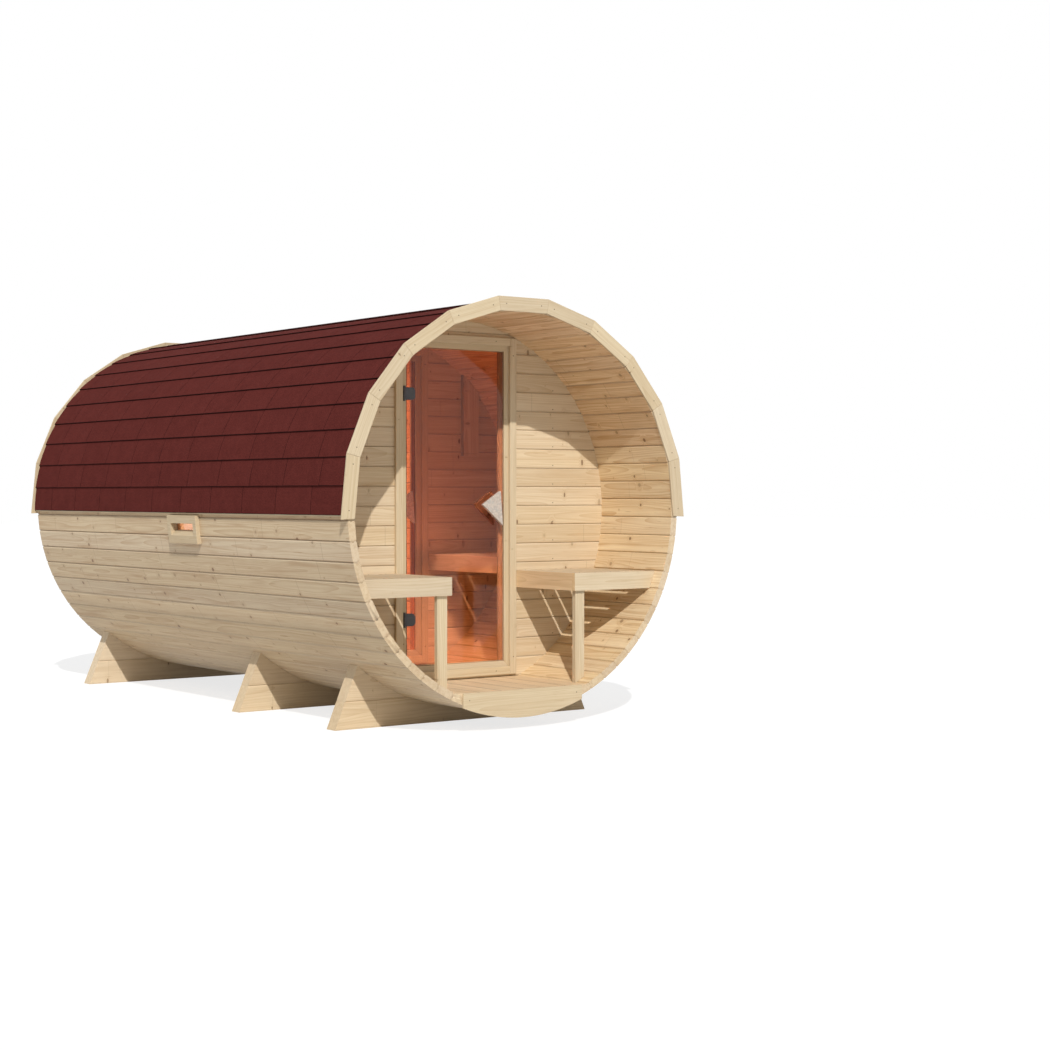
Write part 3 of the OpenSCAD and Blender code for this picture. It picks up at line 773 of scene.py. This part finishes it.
def make_shingle_tree():
    """Rows of shingle tabs laid out flat, cut to the roof's length and then bent round the barrel."""
    tree, n, given, out = new_group(
        "shingle_courses",
        "GeometryNodeTree",
        {
            "Courses": ("NodeSocketInt", COURSES),
            "Tabs": ("NodeSocketInt", 12),
            "Tab Width": (FLOAT, TAB_W),
            "Course Height": (FLOAT, 0.13),
            "Gap": (FLOAT, TAB_GAP),
            "Thickness": (FLOAT, TAB_T),
            "Butt": (FLOAT, SKIN_BUTT),
            "Rise": (FLOAT, 0.016),
            "Eave": (FLOAT, 0.0),
            "Length": (FLOAT, BARREL_LEN),
            "Radius": (FLOAT, BARREL_R),
            "Axis Height": (FLOAT, AXIS_Z),
            "Side": (FLOAT, 1.0),
            "Seed": ("NodeSocketInt", 3),
            "Finish": ("NodeSocketMaterial", None),
        },
        {"Geometry": "NodeSocketGeometry"},
    )
    half = n.math("MULTIPLY", given["Length"], 0.5)
    index = n.add("GeometryNodeInputIndex").outputs[0]
    course = n.math("FLOOR", n.math("DIVIDE", n.math("ADD", index, 0.5), given["Tabs"]))
    column = n.math("SUBTRACT", index, n.math("MULTIPLY", course, given["Tabs"]))
    draw = {"ID": course, "Seed": given["Seed"]}
    slide = n.add("FunctionNodeRandomValue", draw, data_type="FLOAT").outputs[1]
    step = n.math("ADD", n.math("SUBTRACT", column, 0.5), slide)
    y = n.math("SUBTRACT", n.math("MULTIPLY", step, given["Tab Width"]), half)
    s = n.math("MULTIPLY_ADD", n.math("ADD", course, 0.5), given["Course Height"], given["Eave"])
    count = n.math("MULTIPLY", given["Courses"], given["Tabs"])
    layout = n.combine(y, s, given["Rise"])
    points = n.add("GeometryNodePoints", {"Count": count, "Position": layout}).outputs[0]
    edge = n.math("MULTIPLY_ADD", given["Tab Width"], 0.5, n.math("SUBTRACT", half, 0.03))
    along = n.split(n.add("GeometryNodeInputPosition").outputs[0])[0]
    away = n.math("GREATER_THAN", n.math("ABSOLUTE", along), edge)
    past_end = {"Geometry": points, "Selection": away}
    points = n.add("GeometryNodeDeleteGeometry", past_end, domain="POINT").outputs[0]
    tab_width = n.math("SUBTRACT", given["Tab Width"], given["Gap"])
    tab_size = n.combine(tab_width, given["Course Height"], given["Thickness"])
    tab_shape = {"Size": tab_size, "Vertices X": 2, "Vertices Y": 5, "Vertices Z": 2}
    tab = n.add("GeometryNodeMeshCube", tab_shape).outputs[0]
    skew_range = {2: -TAB_SKEW, 3: TAB_SKEW, "Seed": 8}
    skew = n.add("FunctionNodeRandomValue", skew_range, data_type="FLOAT").outputs[1]
    tilt = n.math("DIVIDE", given["Butt"], given["Course Height"])
    lean = n.combine(n.math("MULTIPLY", tilt, -1.0), 0.0, skew)
    tabs = {"Points": points, "Instance": tab, "Rotation": lean}
    placed = n.add("GeometryNodeInstanceOnPoints", tabs).outputs[0]
    tone = n.add("FunctionNodeRandomValue", {"Seed": 5}, data_type="FLOAT").outputs[1]
    placed = n.add(
        "GeometryNodeStoreNamedAttribute",
        {"Geometry": placed, "Name": "tab", "Value": tone},
        data_type="FLOAT",
        domain="INSTANCE",
    ).outputs[0]
    flat = n.add("GeometryNodeRealizeInstances", {"Geometry": placed}).outputs[0]
    x, arc, rise = n.split(n.add("GeometryNodeInputPosition").outputs[0])
    angle = n.math("DIVIDE", arc, given["Radius"])
    reach = n.math("ADD", given["Radius"], rise)
    kept = n.math("MINIMUM", n.math("MAXIMUM", x, n.math("MULTIPLY", half, -1.0)), half)
    sideways = n.math("MULTIPLY", n.math("MULTIPLY", reach, n.math("COSINE", angle)), given["Side"])
    upward = n.math("MULTIPLY_ADD", reach, n.math("SINE", angle), given["Axis Height"])
    on_roof = n.combine(sideways, kept, upward)
    bent = n.add("GeometryNodeSetPosition", {"Geometry": flat, "Position": on_roof}).outputs[0]
    painted = n.add("GeometryNodeSetMaterial", {"Geometry": bent, "Material": given["Finish"]}).outputs[0]
    n.feed(out["Geometry"], painted)
    return tree


def grown_mesh(name, tree, values, start=None):
    """Runs a geometry tree with the given values and returns its result as a plain mesh."""
    carrier = bpy.data.objects.new(name + "_carrier", start or bpy.data.meshes.new(name + "_start"))
    bpy.context.scene.collection.objects.link(carrier)
    modifier = carrier.modifiers.new("grow", "NODES")
    modifier.node_group = tree
    sockets = {item.name: item.identifier for item in tree.interface.items_tree if item.in_out == "INPUT"}
    for label, value in values.items():
        modifier[sockets[label]] = value
    depsgraph = bpy.context.evaluated_depsgraph_get()
    mesh = bpy.data.meshes.new_from_object(carrier.evaluated_get(depsgraph))
    mesh.name = name
    carrier.modifiers.remove(modifier)
    bpy.data.objects.remove(carrier)
    bm = bmesh.new()
    bm.from_mesh(mesh)
    bmesh.ops.recalc_face_normals(bm, faces=bm.faces)
    bm.to_mesh(mesh)
    bm.free()
    return mesh


def shingled_side(name, side, seed):
    """The tabs of one side of the roof, on the stepped skin."""
    eave = -math.asin(EAVE_DROP / BARREL_R)
    values = {
        "Course Height": (math.pi / 2 - eave) * BARREL_R / COURSES,
        "Tabs": math.ceil(BARREL_LEN / TAB_W) + 2,
        "Rise": SKIN_TOP + SKIN_BUTT / 2 + TAB_LIFT - TAB_T / 2,
        "Eave": eave * BARREL_R + EAVE_EDGE,
        "Side": float(side),
        "Seed": seed,
        "Finish": SHINGLE,
    }
    mesh = grown_mesh(name, SHINGLES, values)
    add_piece(mesh, name, "cabin", [])


SHINGLES = make_shingle_tree()
shingled_side("shingles_left", -1, 3)
shingled_side("shingles_right", 1, 11)


def make_heads_tree():
    """Domed nail or screw heads on points, each turned to the way that its point faces."""
    tree, n, given, out = new_group(
        "fastener_heads",
        "GeometryNodeTree",
        {
            "Geometry": ("NodeSocketGeometry", None),
            "Radius": (FLOAT, NAIL_R),
            "Dome": (FLOAT, NAIL_DOME),
            "Finish": ("NodeSocketMaterial", None),
        },
        {"Geometry": "NodeSocketGeometry"},
    )
    facing = n.add("GeometryNodeInputNamedAttribute", {"Name": "facing"}, data_type="FLOAT_VECTOR").outputs[0]
    turn = n.add("FunctionNodeAlignRotationToVector", {"Vector": facing}, axis="Z").outputs[0]
    ball_shape = {"Segments": 8, "Rings": 4, "Radius": given["Radius"]}
    ball = n.add("GeometryNodeMeshUVSphere", ball_shape).outputs[0]
    flat = n.combine(1.0, 1.0, given["Dome"])
    inputs = {"Points": given["Geometry"], "Instance": ball, "Rotation": turn, "Scale": flat}
    placed = n.add("GeometryNodeInstanceOnPoints", inputs).outputs[0]
    real = n.add("GeometryNodeRealizeInstances", {"Geometry": placed}).outputs[0]
    painted = n.add("GeometryNodeSetMaterial", {"Geometry": real, "Material": given["Finish"]}).outputs[0]
    n.feed(out["Geometry"], painted)
    return tree


def nail_heads(name):
    """All marked nails as one piece of the cabin."""
    points = bpy.data.meshes.new(name + "_points")
    points.from_pydata([place for place, _ in NAILS], [], [])
    ways = points.attributes.new("facing", "FLOAT_VECTOR", "POINT")
    for item, (_, facing) in zip(ways.data, NAILS):
        item.vector = facing
    values = {"Radius": NAIL_R, "Dome": NAIL_DOME, "Finish": STEEL}
    mesh = grown_mesh(name, make_heads_tree(), values, points)
    add_piece(mesh, name, "cabin", [])


for side in (-1, 1):
    for joint in WALL_JOINTS:
        if NAILED_FROM < joint < NAILED_TO:
            add_nail((NAIL_COLUMN * side, WALL_FRONT, joint + WALL_NAIL), FRONT)
fascia_low, fascia_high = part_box("front_fascia")
for x in (fascia_low.x + FASCIA_NAIL, fascia_high.x - FASCIA_NAIL):
    add_nail((x, fascia_low.y, fascia_high.z - FASCIA_NAIL), FRONT)
nail_heads("nail_heads")


# Camera, light and floor
camera_data = bpy.data.cameras.new("camera")
camera_data.lens = CAMERA_LENS
camera_data.sensor_width = SENSOR
camera = bpy.data.objects.new("camera", camera_data)
camera.location = CAMERA_PLACE
camera.rotation_euler = CAMERA_TURN
bpy.context.scene.collection.objects.link(camera)
bpy.context.scene.camera = camera

sun_data = bpy.data.lights.new("sun", "SUN")
sun_data.energy = SUN_STRENGTH
sun_data.angle = SUN_ANGLE
sun = bpy.data.objects.new("sun", sun_data)
sun.rotation_euler = SUN_WAY.to_track_quat("-Z", "Y").to_euler()
bpy.context.scene.collection.objects.link(sun)


def room_lamp(name, place, size, power, colour=(1, 1, 1), turn=0.0):
    """A soft lamp in a room, which shines up or down and is not itself seen."""
    lamp_data = bpy.data.lights.new(name, "AREA")
    lamp_data.shape = "RECTANGLE"
    lamp_data.size, lamp_data.size_y = size
    lamp_data.energy = power
    lamp_data.color = colour
    lamp = bpy.data.objects.new(name, lamp_data)
    lamp.location = place
    lamp.rotation_euler.x = turn
    lamp.visible_camera = False
    lamp.visible_glossy = False
    lamp.visible_transmission = False
    bpy.context.scene.collection.objects.link(lamp)


room_lamp("sauna_lamp", (0, 0.7, 1.86), (0.8, 1.6), 26.0)
room_lamp("vestibule_lamp", (0, -0.78, 0.8), (0.6, 0.5), 2.1, (1, 0.45, 0.42), math.pi)


def seen_rays(n):
    """1 for rays that show the background: straight from the camera, in a reflection or through glass."""
    path = n.add("ShaderNodeLightPath").outputs
    seen = n.math("ADD", path["Is Camera Ray"], path["Is Glossy Ray"])
    return n.math("ADD", seen, path["Is Transmission Ray"], clamp=True)


def make_world():
    world = bpy.data.worlds.new("studio")
    world.use_nodes = True
    n = Nodes(world.node_tree)
    light = world.node_tree.nodes["Background"]
    light.inputs["Color"].default_value = (0.96, 0.98, 1.0, 1)
    light.inputs["Strength"].default_value = SKY_STRENGTH
    white = n.add("ShaderNodeBackground", {"Color": (1, 1, 1, 1), "Strength": 1.0}).outputs[0]
    both = n.add("ShaderNodeMixShader", {0: seen_rays(n), 1: light.outputs[0], 2: white}).outputs[0]
    n.feed(world.node_tree.nodes["World Output"].inputs["Surface"], both)
    bpy.context.scene.world = world


def make_floor():
    """A plain pale floor that keeps a soft shadow and meets the white background."""
    material = bpy.data.materials.new("pale_floor")
    material.use_nodes = True
    n = Nodes(material.node_tree)
    material.node_tree.nodes.remove(material.node_tree.nodes["Principled BSDF"])
    lit = n.add("ShaderNodeBsdfDiffuse", {"Color": (0.8, 0.8, 0.8, 1)}).outputs[0]
    shaded = n.add("ShaderNodeBsdfDiffuse", {"Color": (0.3, 0.3, 0.3, 1)}).outputs[0]
    glow = n.add("ShaderNodeEmission", {"Color": (1, 1, 1, 1), "Strength": 0.76}).outputs[0]
    pale = n.add("ShaderNodeAddShader", {0: shaded, 1: glow}).outputs[0]
    both = n.add("ShaderNodeMixShader", {0: seen_rays(n), 1: lit, 2: pale}).outputs[0]
    n.feed(material.node_tree.nodes["Material Output"].inputs["Surface"], both)
    mesh = bpy.data.meshes.new("floor")
    reach = 60.0
    corners = [(-reach, -reach, 0), (reach, -reach, 0), (reach, reach, 0), (-reach, reach, 0)]
    mesh.from_pydata(corners, [], [(0, 1, 2, 3)])
    mesh.materials.append(material)
    floor = bpy.data.objects.new("floor", mesh)
    bpy.context.scene.collection.objects.link(floor)


make_world()
make_floor()
bpy.context.scene.view_settings.view_transform = "Standard"
